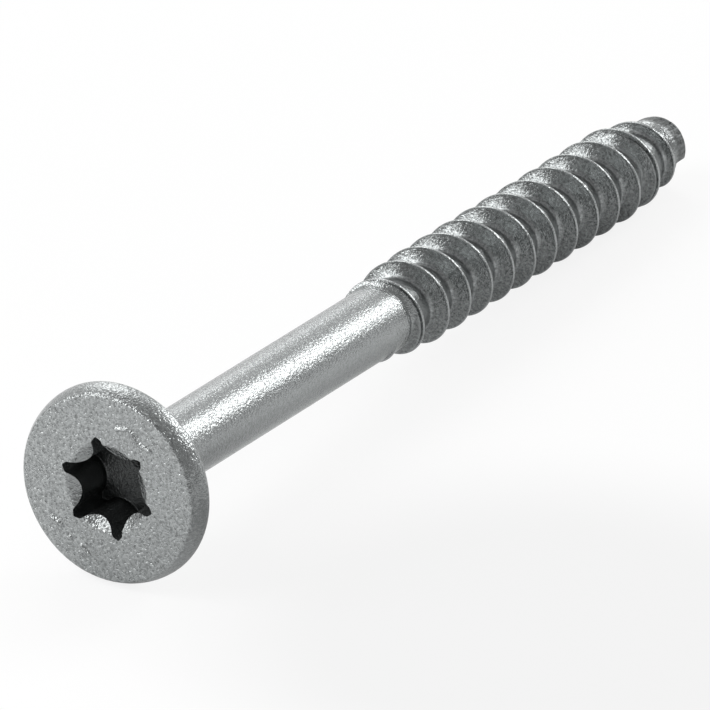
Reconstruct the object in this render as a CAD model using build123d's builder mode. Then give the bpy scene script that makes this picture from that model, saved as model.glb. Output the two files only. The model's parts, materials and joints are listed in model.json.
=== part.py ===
# Construction screw with a countersunk head, a six-lobe socket and a coarse thread
# behind a plain shank. It is one cold-formed and rolled piece, and it lies on its side,
# touching the ground at the rim of its head and at the crest of its thread.
# Lengths are in millimetres and angles in degrees.

import os
from math import asin, atan2, ceil, cos, degrees, hypot, radians, sin, tan

from build123d import *

# Whole screw
overall_length = 70.0
shank_diameter = 4.8
shank_end = 31.5

# Head, measured from the flat face at the top
head_diameter = 13.5
face_diameter = 12.6
rim_height = 1.6
face_rounding = 0.2
back_rounding = 0.45
countersink_angle = 90.0

# Socket with six rounded lobes
socket_across_lobes = 6.85
socket_across_flats = 4.75
socket_lobe_radius = 0.35
socket_depth = 3.4
socket_mouth_diameter = 6.1
socket_mouth_angle = 90.0
socket_dish_depth = 0.45
socket_turn = 43.9
lobe_count = 6

# Thread, right-handed
thread_diameter = 6.3
root_diameter = 4.05
pitch = 2.77
flank_angle = 22.5
run_in_turns = 2.0
run_in_start_drop = 0.1
run_in_bulge = 0.6
run_out_length = 6.2
run_out_end_height = 0.17
thread_start_turn = 75.5
shoulder_angle = 45.0

# Tip, sheared blunt, with one side pinched flat
tip_chamfer = 0.12
tip_flat_from_axis = 1.65
tip_flat_length = 1.7
tip_flat_turn = 140.0

# How far pieces of the model reach into each other before they are joined
joining_depth = 0.2

# Values that follow from the sizes above
head_radius = head_diameter / 2
face_radius = face_diameter / 2
shank_radius = shank_diameter / 2
root_radius = root_diameter / 2
thread_radius = thread_diameter / 2
tip_face_radius = root_radius - tip_chamfer
countersink_end = rim_height + (head_radius - shank_radius) / tan(radians(countersink_angle / 2))
back_bend = 90 - countersink_angle / 2
widest_height = rim_height - back_rounding * tan(radians(back_bend / 2))
side_drop = head_radius - face_radius
side_radius = (side_drop**2 + widest_height**2) / (2 * side_drop)
shoulder_length = (shank_radius - root_radius) / tan(radians(shoulder_angle))
flank_slope = tan(radians(flank_angle))
foot_radius = root_radius - joining_depth
half_foot = (thread_radius - foot_radius) * flank_slope
thread_start = shank_end - joining_depth
thread_turns = (overall_length + half_foot - thread_start) / pitch
run_out_turns = (run_out_length + half_foot) / pitch


def polar(radius, direction):
    """Point at a distance from the screw's axis, in a direction round it."""
    return Vector(radius * cos(radians(direction)), radius * sin(radians(direction)))


def crest_radius(turn):
    """Radius of the thread's crest, so many turns after its start."""
    start_radius = shank_radius - run_in_start_drop
    if turn < run_in_turns:
        return start_radius + (thread_radius - start_radius) * (turn / run_in_turns) ** run_in_bulge
    left = overall_length - thread_start - turn * pitch
    end_radius = root_radius + run_out_end_height
    return min(thread_radius, end_radius + (thread_radius - end_radius) * left / run_out_length)


def ridge_corners(turn):
    """Corners of the ridge's section as radius and height, from one foot over the crest."""
    middle = thread_start + turn * pitch
    crest = crest_radius(turn)
    return [
        (foot_radius, middle - half_foot),
        (crest, middle),
        (foot_radius, middle + half_foot),
    ]


def ridge_edge(first_corner, last_corner, first_turn, last_turn):
    """Helical edge between two corners, conical where the radius changes on the way."""
    first_radius, first_height = first_corner
    last_radius, last_height = last_corner
    rise = last_height - first_height
    taper = degrees(atan2(last_radius - first_radius, rise))
    slant_pitch = rise / (last_turn - first_turn) / cos(radians(taper))
    edge = Helix(slant_pitch, rise, first_radius, (0, 0, first_height), cone_angle=taper)
    return edge.rotate(Axis.Z, 360 * first_turn)


def ridge_cap(turn):
    """Flat face across the ridge, at one of its ends."""
    points = [Vector(radius, 0, height) for radius, height in ridge_corners(turn)]
    outline = Wire.make_polygon([point.rotate(Axis.Z, 360 * turn) for point in points], close=True)
    return Face(outline)


def thread_ridge():
    """The thread's helical ridge, as ruled faces between helical edges, a quarter turn each."""
    stations = {0.0, run_in_turns, thread_turns - run_out_turns, thread_turns}
    stations.update(step / 4 for step in range(ceil(4 * thread_turns)))
    stations = sorted(stations)
    faces = [ridge_cap(stations[0]), ridge_cap(stations[-1])]
    for first_turn, last_turn in zip(stations, stations[1:]):
        corners = list(zip(ridge_corners(first_turn), ridge_corners(last_turn)))
        edges = [ridge_edge(first, last, first_turn, last_turn) for first, last in corners]
        for edge, next_edge in zip(edges, edges[1:] + edges[:1]):
            faces.append(Face.make_surface_from_curves(edge, next_edge))
    return Solid(Shell(faces))


# Half section of the screw without its thread: head, shank, shoulder, core and tip
with BuildPart() as upright_screw:
    with BuildSketch(Plane.XZ) as half_section:
        with BuildLine():
            rim_side = RadiusArc((face_radius, 0), (head_radius, widest_height), -side_radius)
            rim_back = JernArc(rim_side @ 1, (0, 1), back_rounding, back_bend)
            Polyline(
                rim_back @ 1,
                (shank_radius, countersink_end),
                (shank_radius, shank_end),
                (root_radius, shank_end + shoulder_length),
                (root_radius, overall_length),
                (0, overall_length),
                (0, 0),
                (face_radius, 0),
            )
        make_face()
        face_corner = half_section.vertices().sort_by_distance((face_radius, 0))[0]
        fillet(face_corner, face_rounding)
    revolve(axis=Axis.Z)

    # Six-lobe socket: small arcs at the lobes, joined by larger arcs that bulge inwards
    lobe_centre = socket_across_lobes / 2 - socket_lobe_radius
    flat_radius = socket_across_flats / 2
    half_step = 180 / lobe_count
    lobe_reach = lobe_centre * cos(radians(half_step))
    bulge_room = 2 * (lobe_reach + socket_lobe_radius - flat_radius)
    bulge_square = lobe_centre**2 + flat_radius**2 - socket_lobe_radius**2 - 2 * flat_radius * lobe_reach
    bulge_radius = bulge_square / bulge_room
    bulge_centre = flat_radius + bulge_radius
    with BuildSketch(Plane.XY) as socket_section:
        with BuildLine():
            for lobe in range(lobe_count):
                direction = socket_turn + 2 * half_step * lobe
                lobe_middle = polar(lobe_centre, direction)
                next_middle = polar(lobe_centre, direction + 2 * half_step)
                bulge_before = polar(bulge_centre, direction - half_step)
                bulge_after = polar(bulge_centre, direction + half_step)
                lobe_start = lobe_middle + (bulge_before - lobe_middle).normalized() * socket_lobe_radius
                lobe_end = lobe_middle + (bulge_after - lobe_middle).normalized() * socket_lobe_radius
                bulge_end = next_middle + (bulge_after - next_middle).normalized() * socket_lobe_radius
                ThreePointArc(lobe_start, polar(socket_across_lobes / 2, direction), lobe_end)
                ThreePointArc(lobe_end, polar(flat_radius, direction + half_step), bulge_end)
        make_face()
    extrude(amount=socket_depth, mode=Mode.SUBTRACT)

    # Countersunk mouth of the socket, and the dish that the punch leaves in its floor
    mouth_radius = socket_mouth_diameter / 2
    with BuildSketch(Plane.XZ):
        with BuildLine():
            Polyline(
                (0, 0),
                (mouth_radius, 0),
                (0, mouth_radius / tan(radians(socket_mouth_angle / 2))),
                close=True,
            )
        make_face()
        with BuildLine():
            Polyline(
                (0, socket_depth),
                (flat_radius, socket_depth),
                (0, socket_depth + socket_dish_depth),
                close=True,
            )
        make_face()
    revolve(axis=Axis.Z, mode=Mode.SUBTRACT)

    # Thread, which runs past the tip and is cut off with it
    add(thread_ridge().rotate(Axis.Z, thread_start_turn))
    split(bisect_by=Plane.XY.offset(overall_length), keep=Keep.BOTTOM)

    # Chamfer round the tip, over core and thread alike
    chamfer_reach = thread_radius - tip_face_radius
    with BuildSketch(Plane.XZ):
        with BuildLine():
            Polyline(
                (tip_face_radius, overall_length),
                (thread_radius, overall_length),
                (thread_radius, overall_length - chamfer_reach),
                close=True,
            )
        make_face()
    revolve(axis=Axis.Z, mode=Mode.SUBTRACT)

    # Flat pinched into one side of the tip
    with BuildSketch(Plane.XY.offset(overall_length - tip_flat_length)):
        with Locations(Location((0, 0, 0), (0, 0, tip_flat_turn))):
            with Locations((tip_flat_from_axis, 0)):
                Rectangle(thread_radius, thread_diameter, align=(Align.MIN, Align.CENTER))
    extrude(amount=tip_flat_length, mode=Mode.SUBTRACT)


def resting_tilt(turn):
    """Slope at which the rim of the head and the crest at one turn both touch the ground."""
    along = thread_start + turn * pitch - widest_height
    across = head_radius - back_rounding - crest_radius(turn)
    return degrees(atan2(across, along) + asin(back_rounding / hypot(along, across)))


# The crest passes the underside once in each turn, half a turn round from the top
first_bottom_turn = ((180 - thread_start_turn) % 360) / 360
bottom_turns = [first_bottom_turn + turn for turn in range(ceil(thread_turns - first_bottom_turn))]
tilt = min(resting_tilt(turn) for turn in bottom_turns)

# The head is at the -X end, and the tip is lower than the head by the resting tilt
lying_plane = Plane((0, 0, 0), x_dir=(sin(radians(tilt)), 0, cos(radians(tilt))),
                    z_dir=(cos(radians(tilt)), 0, -sin(radians(tilt))))
lying_screw = lying_plane.location * upright_screw.part
lying_box = lying_screw.bounding_box()

with BuildPart() as construction_screw:
    with Locations((-lying_box.center().X, -lying_box.center().Y, -lying_box.min.Z)):
        add(lying_screw)

construction_screw.part.label = "construction_screw"
os.makedirs("parts", exist_ok=True)
export_step(construction_screw.part, "parts/construction_screw.step")
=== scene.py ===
"""Looks of a construction screw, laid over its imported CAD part.

One closed skin replaces the CAD node: socket, face, rim, countersink and shank are rings
about the axis, and the thread is a grid whose rows follow the helix, so that every crest is
a clean line. Lengths are in millimetres until the skin is placed, and directions round the
axis are in degrees from the upper side, right-handed about the way from head to tip.
"""

import json
import math

import bpy
import numpy as np
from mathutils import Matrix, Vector


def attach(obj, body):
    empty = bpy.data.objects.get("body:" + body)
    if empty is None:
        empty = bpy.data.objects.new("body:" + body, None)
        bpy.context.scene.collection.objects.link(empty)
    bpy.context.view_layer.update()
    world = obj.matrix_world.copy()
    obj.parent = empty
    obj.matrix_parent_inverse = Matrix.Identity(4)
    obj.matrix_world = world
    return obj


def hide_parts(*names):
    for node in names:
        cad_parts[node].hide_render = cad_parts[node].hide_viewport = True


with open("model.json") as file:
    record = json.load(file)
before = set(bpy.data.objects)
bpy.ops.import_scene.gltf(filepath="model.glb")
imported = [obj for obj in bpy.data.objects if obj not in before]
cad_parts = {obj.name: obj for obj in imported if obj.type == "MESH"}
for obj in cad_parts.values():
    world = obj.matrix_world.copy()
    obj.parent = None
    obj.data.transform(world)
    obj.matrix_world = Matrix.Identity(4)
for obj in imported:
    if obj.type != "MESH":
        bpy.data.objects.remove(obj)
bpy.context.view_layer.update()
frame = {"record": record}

MM = 0.001

# Head, measured from its flat face
HEAD_RADIUS = 6.75
FACE_RADIUS = 6.3
RIM_HEIGHT = 1.6
FACE_ROUNDING = 0.2
BACK_ROUNDING = 0.45
BACK_BEND = math.pi / 4
NECK_ROUNDING = 0.9

# Plain shank, with a rounded edge where the first full groove of the thread starts
SHANK_RADIUS = 2.4
SHANK_REACH = 33.45
SHANK_EDGE_LENGTH = 0.21
SHANK_EDGE_DROP = 0.05
OVERALL_LENGTH = 70.0

# Six-lobe socket
LOBES = 6
LOBE_REACH = 3.425
LOBE_RADIUS = 0.40
LOBE_POINT = 0.10
LOBE_POINT_SLOPE = 2.4
FLAT_RADIUS = 2.27
MOUTH_RADIUS = 3.05
MOUTH_SLOPE = 31.0
SOCKET_DEPTH = 3.4
SOCKET_DISH = 0.45
SOCKET_TURN = 43.9
SOCKET_CORNER = 0.12

# Plain ticks on the face as radius, direction, length, width and slant from the outward way
FACE_MARKS = (
    (4.5, 12.4, 0.8, 0.14, 65.0),
    (4.5, 25.4, 0.8, 0.14, 115.0),
    (4.5, 38.4, 0.8, 0.14, 65.0),
    (4.9, 197.4, 0.8, 0.14, 115.0),
    (4.9, 213.4, 0.1, 0.18, 0.0),
    (4.9, 229.4, 0.8, 0.14, 65.0),
)
MARK_HEIGHT = 0.12
MARK_EDGE = 0.1

# Thread, where offsets run along the axis from the crest and are negative towards the head
THREAD_RADIUS = 3.15
ROOT_RADIUS = 2.025
PITCH = 2.77
THREAD_START = 31.3
THREAD_START_TURN = 75.5
CREST_HALF_WIDTH = 0.11
CREST_ROUNDING = 0.022
CREST_MARGIN = 0.014
FLANK_HALF_BASE = 0.44
FLANK_HOLLOW = 0.30
ROOT_BLEND = 0.28
GROOVE_EDGE = -1.05
GROOVE_FOOT = -0.84
GROOVE_CHANGE_END = 0.5
GROOVE_CHANGE = 0.15

# Slow and quick waves of the rolled crest, as height, rate per turn and phase
CREST_WAVES = ((0.008, 5.3, 1.0), (0.006, 17.9, 0.0))

# Crest folded over where the thread starts and ends
FOLD_TURNS = (1.0, 12.1)
FOLD_SPREAD = 0.42
FOLD_OFFSET = -0.37
FOLD_DROP = 0.05
FOLD_HALF_WIDTH = 0.04
FOLD_SLOPE = 2.4
FOLD_TROUGH = 0.11

# Run-in and run-out of the thread
RUN_IN_TURNS = 2.0
RUN_IN_DROP = 0.1
RUN_IN_BULGE = 0.6
RUN_OUT_LENGTH = 6.2
RUN_OUT_HEIGHT = 0.17
CREST_GONE = 0.9
CREST_FADE = 1.3

# Blunt tip: a swollen and tapered stub, pinched flat on one side
STUB_START = 67.9
STUB_SWELL = 0.18
STUB_SWELL_LENGTH = 0.4
STUB_TAPER = 0.20
STUB_TAPER_LENGTH = 2.1
TIP_FACE_RADIUS = 1.905
TIP_FLAT_FROM_AXIS = 1.65
TIP_FLAT_START = 68.3
TIP_FLAT_TURN = 140.0
TIP_FLAT_SLOPE_LENGTH = 0.35
TIP_FLAT_RISE = 0.8
LEAST_FACING = 0.3
UNPINCHED = 9.0

# Fineness of the skin: columns round the axis, and shares, angles or depths of its rings
HEAD_COLUMNS = 300
FLOOR_SHARES = (0.05, 0.2, 0.4, 0.6, 0.8, 0.92)
CORNER_ANGLES = (0, 30, 60, 90)
WALL_SHARES = (0.15, 0.35, 0.6, 0.8, 0.93, 1.0)
MOUTH_SHARES = (0.33, 0.66, 1.0)
FACE_RINGS = 50
ROUNDING_RINGS = 8
RIM_RINGS = 8
BACK_RINGS = 6
CONE_SHARES = (0.1, 0.3, 0.5, 0.7, 0.9)
NECK_ANGLES = (45, 36, 27, 18, 9, 0)
SHANK_DEPTHS = (8.5, 11, 14, 17, 20, 23, 26, 28.5, 30.3)
SEAM_DEPTH = 31.3
THREAD_COLUMNS = 150
THREAD_GRID_START = 31.5
THREAD_GRID_END = 69.7
THREAD_GRID_TURNS = range(-1, 17)
THREAD_ROWS = (
    -1.385, -1.26, -1.05, -0.84, -0.68, -0.57, -0.47, -0.40, -0.32, -0.26,
    -0.21, -0.17, -0.14, -0.11, -0.075, -0.035, 0.0, 0.035, 0.075, 0.11,
    0.16, 0.24, 0.34, 0.43, 0.50, 0.58, 0.72, 0.92, 1.15,
)
TIP_DEPTHS = (69.8, 69.9, 69.97, OVERALL_LENGTH)
END_SHARES = (0.97, 0.9, 0.75, 0.5, 0.25)
WELD_DISTANCE = 1e-4
SHARP_ANGLE = 36

# Where the looks change over the skin: each pair is the start and the length of a ramp
FLANK_BELOW_CREST = (0.02, 0.08)
FLANK_FROM_ROOT = (-0.85, 0.25)
FLANK_END = 0.1
FLANK_AFTER_SHANK = 0.1
# Painted shade in the socket deepens over this ramp, and its mouth's cone gets a share of it
SOCKET_DARKENING = (2.4, 1.0)
PETAL_EDGE = 0.05
PETAL_DARKENING = 0.25
STUB_DARKENING = (68.2, 0.6)
FACE_EDGE = (0.1, 0.1)
RIM_EDGE = (1.5, 0.5)
RIM_SHARE = 0.25
ROOT_EDGE = (0.03, 0.22)

# Colours from the face down to the bottom of the socket: the coating, painted shade on the
# thread's flanks (also the grey of its random mottle), lighter painted shade in its roots, a
# darker colour towards the tip, and painted shade in the socket
COATING = (0.365, 0.380, 0.380, 1)
FLANK_SHADE_AND_MOTTLE = (0.238, 0.249, 0.249, 1)
ROOT_PAINTED_SHADE = (0.300, 0.313, 0.313, 1)
TIP_DARKER_COLOUR = (0.118, 0.124, 0.124, 1)
SOCKET_PAINTED_SHADE = (0.070, 0.073, 0.073, 1)

# Noises of the coating per metre, and the stretched one of the darker end per millimetre
GRAIN_SCALE = 12000.0
PEEL_SCALE = 5200.0
CLOUD_SCALE = 260.0
STREAK_SCALE = (4.2, 4.2, 0.9)
CLOUD_SHARE = 0.15
STREAK_CONTRAST = 3.0
STREAK_HEIGHT = 5.0
BUMP_DISTANCE = 0.020 * MM
SHARP_ROUGHNESS = 0.13
SOFT_ROUGHNESS = 0.5

# The floor is pale, with a grey painted shadow in front of the head, which the rim mirrors
PALE_PAPER = (0.97, 0.97, 0.97, 1)
PAINTED_SHADOW_GREY = (0.36, 0.36, 0.36, 1)
PAINTED_SHADOW_MIDDLE = (-26 * MM, -27 * MM, 0)
PAINTED_SHADOW_REACH = (13 * MM, 28 * MM)
FLOOR_REACH = 4.0
SHOWN_WHITE = 0.85
MIRRORED_WHITE = 0.1
WHITE = (1, 1, 1, 1)

# Camera at the photograph's angle, fitted to the outline of the screw in it
CAMERA_TARGET = (-4.7111, 0, 3.5438)
CAMERA_AZIMUTH = -58.388
CAMERA_ELEVATION = 26.5315
CAMERA_DISTANCE = 0.780
SENSOR_WIDTH = 36.0
LENS_TO_SENSOR = 16.7492


class Skin:
    """Points as (radius, direction, depth) and the faces between them."""

    def __init__(self):
        self.points = []
        self.faces = []
        self.count = 0

    def add(self, radius, direction, depth):
        radius, direction, depth = np.broadcast_arrays(radius, direction, depth)
        self.points.append(np.stack([radius.ravel(), direction.ravel(), depth.ravel()], 1))
        first = self.count
        self.count += radius.size
        return np.arange(first, self.count).reshape(radius.shape)

    def band(self, first, second):
        """Faces between two rings of as many points."""
        following = np.roll(first, -1), np.roll(second, -1)
        self.faces.extend(np.stack([first, following[0], following[1], second], 1).tolist())

    def halve(self, wide, narrow):
        """Faces between a ring and one with half as many points."""
        for step in range(len(narrow)):
            left, middle = wide[2 * step], wide[2 * step + 1]
            right = wide[(2 * step + 2) % len(wide)]
            near, far = narrow[step], narrow[(step + 1) % len(narrow)]
            self.faces.append([int(left), int(middle), int(near)])
            self.faces.append([int(middle), int(right), int(far), int(near)])

    def fan(self, ring, centre):
        """Faces between a ring and the point in its middle, facing as bands before it do."""
        following = np.roll(ring, -1)
        self.faces.extend([[int(a), int(b), int(centre)] for a, b in zip(ring, following)])


def ramp(value, start, length):
    """Share from 0 to 1 that rises over a length from a start."""
    return np.clip((value - start) / length, 0, 1)


def socket_radius(direction):
    """Outline of the six-lobe socket: small pointed arcs at the lobes, larger ones between."""
    half_step = math.pi / LOBES
    lobe_centre = LOBE_REACH - LOBE_RADIUS
    reach = lobe_centre * math.cos(half_step)
    room = 2 * (reach + LOBE_RADIUS - FLAT_RADIUS)
    square = lobe_centre**2 + FLAT_RADIUS**2 - LOBE_RADIUS**2 - 2 * FLAT_RADIUS * reach
    bulge_radius = square / room
    bulge_centre = FLAT_RADIUS + bulge_radius
    away = np.radians(direction - SOCKET_TURN)
    away = np.abs((away + half_step) % (2 * half_step) - half_step)
    meeting = math.atan2(
        bulge_centre * math.sin(half_step) * LOBE_RADIUS,
        lobe_centre * (bulge_radius + LOBE_RADIUS)
        + (bulge_centre * math.cos(half_step) - lobe_centre) * LOBE_RADIUS,
    )
    lobe = lobe_centre * np.cos(away) + np.sqrt(
        np.maximum(LOBE_RADIUS**2 - (lobe_centre * np.sin(away)) ** 2, 0)
    )
    lobe = np.maximum(lobe, LOBE_REACH + LOBE_POINT - LOBE_POINT_SLOPE * away)
    rest = half_step - away
    bulge = bulge_centre * np.cos(rest) - np.sqrt(
        np.maximum(bulge_radius**2 - (bulge_centre * np.sin(rest)) ** 2, 0)
    )
    return np.where(away < meeting, lobe, bulge)


def face_marks(radius, direction):
    """Height of the plain raised ticks on the face, which stand for forming marks."""
    height = np.zeros_like(radius)
    for mark_radius, mark_direction, length, width, slant in FACE_MARKS:
        turn = np.radians(direction - mark_direction)
        outward = radius * np.cos(turn) - mark_radius
        sideways = radius * np.sin(turn)
        slope = math.radians(slant)
        along = outward * math.cos(slope) + sideways * math.sin(slope)
        across = sideways * math.cos(slope) - outward * math.sin(slope)
        excess = np.maximum(np.abs(along) - length / 2, 0)
        away = np.hypot(excess, across)
        share = np.clip((width / 2 + MARK_EDGE - away) / MARK_EDGE, 0, 1)
        height = np.maximum(height, np.where(np.cos(turn) > 0, MARK_HEIGHT * share, 0))
    return height


def crest_radius(turn):
    """Radius of the thread's crest, so many turns after its start."""
    start = SHANK_RADIUS - RUN_IN_DROP
    share = np.clip(turn / RUN_IN_TURNS, 0, 1)
    rising = start + (THREAD_RADIUS - start) * share**RUN_IN_BULGE
    left = OVERALL_LENGTH - THREAD_START - turn * PITCH
    end = ROOT_RADIUS + RUN_OUT_HEIGHT
    falling = end + (THREAD_RADIUS - end) * left / RUN_OUT_LENGTH
    uneven = sum(height * np.sin(rate * turn + phase) for height, rate, phase in CREST_WAVES)
    top = np.minimum(np.minimum(rising, falling), THREAD_RADIUS - CREST_MARGIN)
    top = ROOT_RADIUS + (top - ROOT_RADIUS) * ramp(left, CREST_GONE, CREST_FADE)
    return np.where(turn < 0, 0.0, top + uneven)


def fold(turn):
    """How strongly the rolled crest is folded over, where the thread starts and ends."""
    start, end = (np.exp(-(((turn - middle) / FOLD_SPREAD) ** 4)) for middle in FOLD_TURNS)
    return np.maximum(start, end)


def ridge(turn, offset):
    """Radius of one turn of the thread's ridge, at an offset along the axis from its crest."""
    top = crest_radius(turn)
    share = np.maximum(np.abs(offset) - CREST_HALF_WIDTH, 0) / FLANK_HALF_BASE
    straight = 1 - FLANK_HOLLOW
    drop = (np.sqrt(straight**2 + 4 * FLANK_HOLLOW * share) - straight) / (2 * FLANK_HOLLOW)
    rounding = CREST_ROUNDING * np.clip(np.abs(offset) / CREST_HALF_WIDTH, 0, 1) ** 2
    crest = top - (THREAD_RADIUS - ROOT_RADIUS) * drop - rounding
    beside = np.maximum(np.abs(offset - FOLD_OFFSET) - FOLD_HALF_WIDTH, 0)
    lip = top - FOLD_DROP - beside * FOLD_SLOPE
    trough = np.where((offset > FOLD_OFFSET) & (offset < 0), top - FOLD_TROUGH, 0)
    return np.maximum(crest, np.maximum(lip, trough) - (1 - fold(turn)))


def shank_reach(share):
    """Depth at which the plain shank ends, where the first full groove of the thread starts."""
    turn = share + np.clip((GROOVE_CHANGE_END - share) / GROOVE_CHANGE, 0, 1)
    return np.maximum(THREAD_START + turn * PITCH + GROOVE_EDGE, SHANK_REACH)


def threaded_radius(depth, share):
    """Radius of the threaded part, where share is the column's part of a whole turn."""
    phase = (depth - THREAD_START) / PITCH - share
    nearest = np.floor(phase + 0.5)
    height = np.zeros_like(phase)
    for step in (-1, 0, 1):
        turn = nearest + step + share
        height = np.maximum(height, ridge(turn, (phase - nearest - step) * PITCH))
    core = np.interp(depth - shank_reach(share),
                     (-SHANK_EDGE_LENGTH, 0, GROOVE_FOOT - GROOVE_EDGE),
                     (SHANK_RADIUS, SHANK_RADIUS - SHANK_EDGE_DROP, ROOT_RADIUS))
    core = core + STUB_SWELL * ramp(depth, STUB_START, STUB_SWELL_LENGTH)
    core = core - STUB_TAPER * ramp(depth, STUB_START, STUB_TAPER_LENGTH) ** 2
    near = np.maximum(ROOT_BLEND - np.abs(height - core), 0) / ROOT_BLEND
    radius = np.maximum(height, core) + ROOT_BLEND * near**2 / 4
    chamfer = TIP_FACE_RADIUS + np.maximum(OVERALL_LENGTH - depth, 0)
    radius = np.minimum(radius, chamfer)

    # One side of the tip is pinched flat, with a short slope up to the round stub
    facing = np.cos(np.radians(share * 360 + THREAD_START_TURN - TIP_FLAT_TURN))
    inward = ramp(depth, TIP_FLAT_START, TIP_FLAT_SLOPE_LENGTH)
    flat = TIP_FLAT_FROM_AXIS + (1 - inward) * TIP_FLAT_RISE
    pinched = flat / np.maximum(facing, LEAST_FACING)
    pinched = np.where(facing > LEAST_FACING, pinched, UNPINCHED)
    return np.where(depth > TIP_FLAT_START, np.minimum(radius, pinched), radius)


def socket_rings(outline, mouth):
    """Rings over the socket's dished floor, up its wall and over its countersunk mouth."""
    rings = []
    for share in FLOOR_SHARES:
        radius = share * (outline - SOCKET_CORNER)
        dish = SOCKET_DISH * np.maximum(1 - radius / FLAT_RADIUS, 0)
        rings.append((radius, SOCKET_DEPTH + dish))
    for angle in CORNER_ANGLES:
        turn = math.radians(angle)
        rings.append((outline - SOCKET_CORNER + SOCKET_CORNER * math.sin(turn),
                      SOCKET_DEPTH - SOCKET_CORNER + SOCKET_CORNER * math.cos(turn)))
    floor = SOCKET_DEPTH - SOCKET_CORNER
    wall_top = np.maximum(MOUTH_RADIUS - outline, 0) * math.tan(math.radians(MOUTH_SLOPE))
    for share in WALL_SHARES:
        rings.append((outline, floor + (wall_top - floor) * share))
    for share in MOUTH_SHARES:
        rings.append((outline + (mouth - outline) * share, wall_top * (1 - share)))
    return rings


def face_and_rim_rings(mouth, direction):
    """Rings over the face and the rim, whose side is a shallow arc, to its rounded back."""
    widest = RIM_HEIGHT - BACK_ROUNDING * math.tan(BACK_BEND / 2)
    drop = HEAD_RADIUS - FACE_RADIUS
    side_radius = (drop**2 + widest**2) / (2 * drop)
    side_middle = HEAD_RADIUS - side_radius
    reach = side_radius - FACE_ROUNDING
    face_end = side_middle + math.sqrt(reach**2 - (widest - FACE_ROUNDING) ** 2)
    corner_angle = math.asin((face_end - side_middle) / reach)
    rings = []
    for share in np.linspace(0, 1, FACE_RINGS + 1)[1:]:
        radius = mouth + (face_end - mouth) * share
        rings.append((radius, -face_marks(radius, direction)))
    for turn in np.linspace(0, corner_angle, ROUNDING_RINGS + 1)[1:]:
        rings.append((face_end + FACE_ROUNDING * math.sin(turn),
                      FACE_ROUNDING * (1 - math.cos(turn))))
    for turn in np.linspace(corner_angle, math.pi / 2, RIM_RINGS + 1)[1:]:
        rings.append((side_middle + side_radius * math.sin(turn),
                      widest - side_radius * math.cos(turn)))
    for turn in np.linspace(0, BACK_BEND, BACK_RINGS + 1)[1:]:
        rings.append((HEAD_RADIUS - BACK_ROUNDING * (1 - math.cos(turn)),
                      widest + BACK_ROUNDING * math.sin(turn)))
    return rings


def cone_and_shank_rings(cone_start):
    """Rings over the countersunk underside, the rounded neck and the plain shank."""
    neck_corner = RIM_HEIGHT + HEAD_RADIUS - SHANK_RADIUS
    neck_reach = NECK_ROUNDING * math.tan(BACK_BEND / 2)
    cone_end = (SHANK_RADIUS + neck_reach * math.sqrt(0.5),
                neck_corner - neck_reach * math.sqrt(0.5))
    rings = []
    for share in CONE_SHARES:
        rings.append(tuple(a + (b - a) * share for a, b in zip(cone_start, cone_end)))
    neck_end = neck_corner + neck_reach
    for angle in NECK_ANGLES:
        turn = math.radians(angle)
        rings.append((SHANK_RADIUS + NECK_ROUNDING * (1 - math.cos(turn)),
                      neck_end - NECK_ROUNDING * math.sin(turn)))
    for depth in SHANK_DEPTHS:
        rings.append((SHANK_RADIUS, depth))
    return rings


def build_head(skin):
    """Rings from the middle of the socket's floor over the face to the end of the shank."""
    direction = THREAD_START_TURN + 360 * np.arange(HEAD_COLUMNS) / HEAD_COLUMNS
    outline = socket_radius(direction)
    mouth = np.maximum(outline, MOUTH_RADIUS)
    rings = socket_rings(outline, mouth) + face_and_rim_rings(mouth, direction)
    rings = rings + cone_and_shank_rings(rings[-1])

    centre = skin.add(0.0, 0.0, SOCKET_DEPTH + SOCKET_DISH)[()]
    before = None
    for radius, depth in rings:
        ring = skin.add(radius, direction, depth)
        if before is None:
            skin.fan(ring[::-1], centre)
        else:
            skin.band(before, ring)
        before = ring
    return before


def build_thread(skin, shank_ring):
    """Rows along the helix between two plain rings, and the rings of the blunt tip."""
    share = np.arange(THREAD_COLUMNS) / THREAD_COLUMNS
    direction = THREAD_START_TURN + 360 * share
    seam = skin.add(SHANK_RADIUS, direction, SEAM_DEPTH)
    skin.halve(shank_ring, seam)
    radius = threaded_radius(np.full_like(share, THREAD_GRID_START), share)
    grid_start = skin.add(radius, direction, THREAD_GRID_START)
    skin.band(seam, grid_start)

    rows = []
    for turn in THREAD_GRID_TURNS:
        for offset in THREAD_ROWS:
            depth = THREAD_START + PITCH * (turn + share) + offset
            depth = np.clip(depth, THREAD_GRID_START, THREAD_GRID_END)
            rows.append(skin.add(threaded_radius(depth, share), direction, depth))
    per_turn = len(THREAD_ROWS)
    for row in range(len(rows) - per_turn - 1):
        wrapped = np.append(rows[row][1:], rows[row + per_turn][0])
        wrapped_next = np.append(rows[row + 1][1:], rows[row + per_turn + 1][0])
        skin.faces.extend(np.stack([rows[row], wrapped, wrapped_next, rows[row + 1]], 1).tolist())

    radius = threaded_radius(np.full_like(share, THREAD_GRID_END), share)
    before = skin.add(radius, direction, THREAD_GRID_END)
    for depth in TIP_DEPTHS:
        radius = threaded_radius(np.full_like(share, depth), share)
        ring = skin.add(radius, direction, depth)
        skin.band(before, ring)
        before = ring
    for part in END_SHARES:
        ring = skin.add(radius * part, direction, OVERALL_LENGTH)
        skin.band(before, ring)
        before = ring
    centre = skin.add(0.0, 0.0, OVERALL_LENGTH)[()]
    skin.fan(before, centre)


def axis_frame():
    """Middle of the head's face, the way to the tip, and the two directions across it."""
    mounts = {mount["name"]: mount for mount in frame["record"]["mounts"]}
    middle = Vector(mounts["drive_socket"]["pos_m"])
    along = -Vector(mounts["drive_socket"]["axis"]).normalized()
    upper = (Vector((0, 0, 1)) - along * along.z).normalized()
    side = along.cross(upper)
    return middle, along, upper, side


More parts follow.
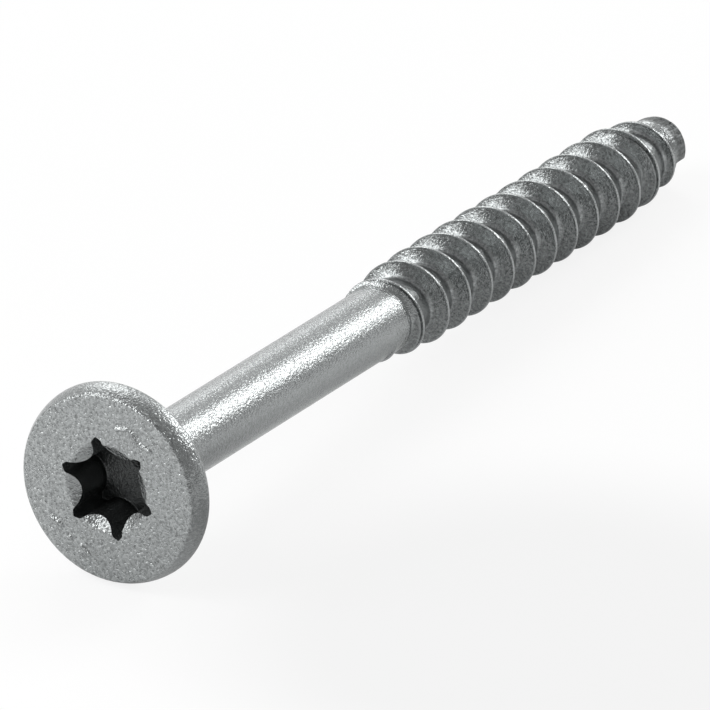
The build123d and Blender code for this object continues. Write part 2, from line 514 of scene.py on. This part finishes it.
def store(mesh, name, kind, values):
    attribute = mesh.attributes.new(name, kind, "POINT")
    field = "vector" if kind == "FLOAT_VECTOR" else "value"
    attribute.data.foreach_set(field, np.asarray(values, np.float32).ravel())


def store_places(mesh, radius, direction, depth):
    """Store where each point lies on the screw, for the material."""
    angle = np.radians(direction)
    share = ((direction - THREAD_START_TURN) / 360) % 1
    turn = np.round((depth - THREAD_START) / PITCH - share) + share
    offset = depth - THREAD_START - turn * PITCH
    lip_drop = np.where(offset < FOLD_OFFSET / 2, FOLD_DROP * fold(turn), 0)

    # The flank's share carries painted shade on the thread's head-facing flanks
    flank = ramp(crest_radius(turn) - lip_drop - radius, *FLANK_BELOW_CREST)
    flank = flank * ramp(offset, *FLANK_FROM_ROOT)
    flank = np.where(offset > FLANK_END, 0, flank)
    flank = np.where(depth > shank_reach(share) + FLANK_AFTER_SHANK, flank, 0)

    # Painted shade in the socket, darker deeper down, and a little on its mouth's cone
    inside = radius < LOBE_REACH + LOBE_POINT
    socket = np.where(inside, ramp(depth, *SOCKET_DARKENING), 0)
    petal = (depth > PETAL_EDGE) & (radius < MOUTH_RADIUS - PETAL_EDGE)
    socket = np.maximum(socket, np.where(petal, PETAL_DARKENING, 0))
    socket = np.where(depth < SOCKET_DEPTH + 1, socket, 0)

    face = 1 - ramp(depth, *FACE_EDGE)
    face = np.maximum(face, RIM_SHARE * (1 - ramp(depth, *RIM_EDGE)))
    # The root's share carries a lighter painted shade at the bottom of the groove
    root = 1 - ramp(radius - ROOT_RADIUS, *ROOT_EDGE)
    root = np.where((depth > shank_reach(share)) & (depth < STUB_START), root, 0)

    around = np.stack([np.cos(angle) * radius, np.sin(angle) * radius, depth], 1)
    store(mesh, "around", "FLOAT_VECTOR", around)
    store(mesh, "flank", "FLOAT", flank)
    store(mesh, "socket", "FLOAT", socket)
    store(mesh, "stub", "FLOAT", ramp(depth, *STUB_DARKENING))
    store(mesh, "face", "FLOAT", face)
    store(mesh, "root", "FLOAT", root)


def make_screw():
    skin = Skin()
    shank_ring = build_head(skin)
    build_thread(skin, shank_ring)
    radius, direction, depth = np.concatenate(skin.points).T
    middle, along, upper, side = (np.array(vector) for vector in axis_frame())
    angle = np.radians(direction)
    place = (middle + MM * (np.outer(depth, along)
                            + np.outer(radius * np.cos(angle), upper)
                            + np.outer(radius * np.sin(angle), side)))

    # Points that lie on one another become one, and faces that close up go
    keys = np.round(place / (MM * WELD_DISTANCE)).astype(np.int64)
    _, kept, index = np.unique(keys, axis=0, return_index=True, return_inverse=True)
    index = index.ravel()
    faces = []
    for face in skin.faces:
        corners = [int(index[corner]) for corner in face]
        corners = [c for n, c in enumerate(corners) if c != corners[n - 1]]
        if len(set(corners)) == len(corners) and len(corners) > 2:
            faces.append(corners)
    mesh = bpy.data.meshes.new("screw_skin")
    mesh.from_pydata(place[kept].tolist(), [], faces)
    mesh.validate()
    mesh.polygons.foreach_set("use_smooth", [True] * len(mesh.polygons))
    mesh.set_sharp_from_angle(angle=math.radians(SHARP_ANGLE))
    store_places(mesh, radius[kept], direction[kept], depth[kept])
    screw = bpy.data.objects.new("coated_screw", mesh)
    bpy.context.scene.collection.objects.link(screw)
    return screw


class Nodes:
    """Short way to add and link shader nodes."""

    def __init__(self, material):
        material.use_nodes = True
        self.tree = material.node_tree
        self.tree.nodes.clear()

    def add(self, kind, inputs=None, **settings):
        node = self.tree.nodes.new(kind)
        for name, value in settings.items():
            setattr(node, name, value)
        for name, value in (inputs or {}).items():
            self.set(node.inputs[name], value)
        return node

    def set(self, socket, value):
        if isinstance(value, bpy.types.NodeSocket):
            self.tree.links.new(value, socket)
        else:
            socket.default_value = value

    def math(self, operation, first, second):
        return self.add("ShaderNodeMath", {0: first, 1: second}, operation=operation).outputs[0]

    def weigh(self, base, *terms):
        """A base value plus each term times its weight."""
        total = base
        for term, weight in terms:
            node = self.add("ShaderNodeMath", {0: term, 1: weight, 2: total},
                            operation="MULTIPLY_ADD")
            total = node.outputs[0]
        return total

    def attribute(self, name, output="Fac"):
        return self.add("ShaderNodeAttribute", attribute_name=name).outputs[output]

    def blend(self, factor, first, second):
        node = self.add("ShaderNodeMix", {0: factor}, data_type="RGBA")
        self.set(node.inputs[6], first)
        self.set(node.inputs[7], second)
        return node.outputs[2]

    def scale(self, colour, factor):
        node = self.add("ShaderNodeVectorMath", {0: colour, 3: factor}, operation="SCALE")
        return node.outputs[0]

    def noise(self, vector, scale, detail, roughness):
        node = self.add("ShaderNodeTexNoise", {"Vector": vector, "Scale": scale,
                                               "Detail": detail, "Roughness": roughness})
        return node.outputs["Fac"]

    def smooth_range(self, value, from_min, from_max, to_min=0.0, to_max=1.0):
        node = self.add("ShaderNodeMapRange", {"Value": value,
                                               "From Min": from_min, "From Max": from_max,
                                               "To Min": to_min, "To Max": to_max})
        node.interpolation_type = "SMOOTHSTEP"
        return node.outputs[0]


def coating_material():
    """Silver-grey flake coating: satin and finely grained, with painted shade on the thread's
    flanks and roots and in the socket, and darker towards the tip.
    """
    material = bpy.data.materials.new("coated_steel")
    nodes = Nodes(material)
    place = nodes.add("ShaderNodeTexCoord").outputs["Object"]
    around = nodes.attribute("around", "Vector")
    flank, socket, stub, face, root = (
        nodes.attribute(name) for name in ("flank", "socket", "stub", "face", "root")
    )
    grain = nodes.noise(place, GRAIN_SCALE, detail=1.0, roughness=0.5)
    peel = nodes.noise(place, PEEL_SCALE, detail=1.0, roughness=0.5)
    cloud = nodes.noise(place, CLOUD_SCALE, detail=3.0, roughness=0.6)
    stretched = nodes.add("ShaderNodeMapping", {"Vector": around, "Scale": STREAK_SCALE})
    streaks = nodes.noise(stretched.outputs[0], 1.0, detail=2.0, roughness=0.6)

    # Painted shade: the thread's flanks and roots are darker than the coating, where shade falls
    # in the grooves; the cloud mottles the coating at random towards the flank's grey
    colour = nodes.blend(flank, COATING, FLANK_SHADE_AND_MOTTLE)
    colour = nodes.blend(nodes.math("MULTIPLY", cloud, CLOUD_SHARE), colour, FLANK_SHADE_AND_MOTTLE)
    colour = nodes.blend(root, colour, ROOT_PAINTED_SHADE)
    # Darker towards the tip
    colour = nodes.blend(stub, colour, TIP_DARKER_COLOUR)

    # The pebbles show most on the face, then on the flanks, and the streaks at the darker end.
    # Their colour follows the bump heights, lighter on the rises and darker in the dips: partly
    # the coating's own uneven tone, partly painted shade of its relief.
    pebble_tone_and_shade = nodes.weigh(-1.0, (grain, 1.0), (peel, 1.0))
    pebble_contrast = nodes.weigh(0.5, (face, 0.8), (flank, 1.0))
    streak_tone_and_shade = nodes.math("MULTIPLY", nodes.math("SUBTRACT", streaks, 0.5), stub)
    contrast = nodes.weigh(1.0, (pebble_tone_and_shade, pebble_contrast), (streak_tone_and_shade, STREAK_CONTRAST))
    # Painted shade darkens the socket towards its floor
    colour = nodes.blend(socket, nodes.scale(colour, contrast), SOCKET_PAINTED_SHADE)

    grain_height = nodes.weigh(1.2, (flank, -0.5))
    peel_height = nodes.weigh(2.0, (face, 3.0), (flank, -1.0))
    streak_height = nodes.math("MULTIPLY", stub, STREAK_HEIGHT)
    heights = nodes.weigh(0.0, (grain, grain_height), (peel, peel_height),
                          (streaks, streak_height))
    bump = nodes.add("ShaderNodeBump", {"Height": heights, "Strength": 1.0,
                                        "Distance": BUMP_DISTANCE})
    sharp, soft = (
        nodes.add("ShaderNodeBsdfPrincipled",
                  {"Base Color": colour, "Metallic": 1.0, "Roughness": roughness,
                   "Normal": bump.outputs[0]})
        for roughness in (SHARP_ROUGHNESS, SOFT_ROUGHNESS)
    )
    softness = nodes.weigh(0.22, (root, 0.3), (stub, 0.5))
    shader = nodes.add("ShaderNodeMixShader", {0: softness, 1: sharp.outputs[0],
                                               2: soft.outputs[0]})
    nodes.add("ShaderNodeOutputMaterial", {"Surface": shader.outputs[0]})
    return material


def floor_material():
    """Pale floor that shows nearly white, still takes the screw's shadow, and has a grey painted
    shadow in front of the head.
    """
    material = bpy.data.materials.new("floor")
    nodes = Nodes(material)
    path = nodes.add("ShaderNodeLightPath").outputs
    reflected = nodes.math("MAXIMUM", path["Is Glossy Ray"], path["Is Transmission Ray"])
    share = nodes.weigh(0.0, (path["Is Camera Ray"], SHOWN_WHITE), (reflected, MIRRORED_WHITE))
    place = nodes.add("ShaderNodeTexCoord").outputs["Object"]
    # Painted shadow: the floor greys towards a spot in front of the head
    away = nodes.add("ShaderNodeVectorMath", {0: place, 1: PAINTED_SHADOW_MIDDLE}, operation="DISTANCE")
    edge = nodes.smooth_range(away.outputs["Value"], *PAINTED_SHADOW_REACH)
    colour = nodes.blend(edge, PAINTED_SHADOW_GREY, PALE_PAPER)
    matt = nodes.add("ShaderNodeBsdfDiffuse", {"Color": colour})
    bright = nodes.add("ShaderNodeEmission", {"Color": WHITE, "Strength": 1.0})
    mixed = nodes.add("ShaderNodeMixShader", {0: share, 1: matt.outputs[0],
                                              2: bright.outputs[0]})
    nodes.add("ShaderNodeOutputMaterial", {"Surface": mixed.outputs[0]})
    return material


def toward(azimuth, elevation):
    """Unit vector to a camera or lamp: azimuth 0 is in front, and 90 is on the right."""
    azimuth, elevation = math.radians(azimuth), math.radians(elevation)
    return Vector((math.sin(azimuth) * math.cos(elevation),
                   -math.cos(azimuth) * math.cos(elevation), math.sin(elevation)))


def place_from(name, data, target, azimuth, elevation, distance):
    """Object with this data, so far from a target in a direction, and aimed at it."""
    item = bpy.data.objects.new(name, data)
    item.location = target + toward(azimuth, elevation) * distance
    item.rotation_euler = toward(azimuth, elevation).to_track_quat("Z", "Y").to_euler()
    bpy.context.scene.collection.objects.link(item)
    return item


def softbox(name, azimuth, elevation, width, height, radiance, distance=0.6):
    """Area lamp that faces the screw, with its size and radiance as seen from there."""
    data = bpy.data.lights.new(name, "AREA")
    data.shape = "RECTANGLE"
    data.size = 2 * distance * math.tan(math.radians(width / 2))
    data.size_y = 2 * distance * math.tan(math.radians(height / 2))
    data.energy = radiance * math.pi * data.size * data.size_y
    place_from(name, data, Vector((0, 0, 0)), azimuth, elevation, distance)


def make_floor_spot():
    """Spot that lights the floor beyond the head, which the face mirrors."""
    data = bpy.data.lights.new("floor_spot", "SPOT")
    data.energy = 0.75
    data.spot_size = math.radians(14)
    data.spot_blend = 1.0
    data.shadow_soft_size = 0.03
    place_from("floor_spot", data, Vector((-54, 12, 0)) * MM,
               azimuth=-127, elevation=60, distance=0.3)


def make_world():
    """Grey studio that is lighter low down behind the screw."""
    world = bpy.data.worlds.new("studio")
    bpy.context.scene.world = world
    nodes = Nodes(world)
    way = nodes.add("ShaderNodeTexCoord").outputs["Generated"]
    light_side = tuple(toward(azimuth=115, elevation=15))
    facing = nodes.add("ShaderNodeVectorMath", {0: way, 1: light_side}, operation="DOT_PRODUCT")
    strength = nodes.smooth_range(facing.outputs["Value"], from_min=0.2, from_max=0.9,
                                  to_min=0.36, to_max=0.85)
    background = nodes.add("ShaderNodeBackground", {"Color": WHITE, "Strength": strength})
    nodes.add("ShaderNodeOutputWorld", {"Surface": background.outputs[0]})


def make_camera():
    data = bpy.data.cameras.new("camera")
    data.sensor_width = SENSOR_WIDTH
    data.lens = SENSOR_WIDTH * LENS_TO_SENSOR
    data.clip_start = 0.01
    data.clip_end = 20.0
    camera = place_from("camera", data, Vector(CAMERA_TARGET) * MM,
                        CAMERA_AZIMUTH, CAMERA_ELEVATION, CAMERA_DISTANCE)
    bpy.context.scene.camera = camera


def make_floor():
    mesh = bpy.data.meshes.new("floor")
    corners = [(-1, -1), (1, -1), (1, 1), (-1, 1)]
    mesh.from_pydata([(x * FLOOR_REACH, y * FLOOR_REACH, 0) for x, y in corners], [],
                     [(0, 1, 2, 3)])
    mesh.materials.append(floor_material())
    floor = bpy.data.objects.new("floor", mesh)
    bpy.context.scene.collection.objects.link(floor)


screw = make_screw()
screw.data.materials.append(coating_material())
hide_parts("construction_screw")
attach(screw, "root")

make_floor()
make_world()
softbox("key", azimuth=65, elevation=32, width=28, height=19, radiance=5.6)
softbox("side", azimuth=133, elevation=38, width=22, height=28, radiance=3.0)
softbox("back", azimuth=-134, elevation=32, width=36, height=36, radiance=3.8)
make_floor_spot()
make_camera()
bpy.context.scene.view_settings.view_transform = "Standard"
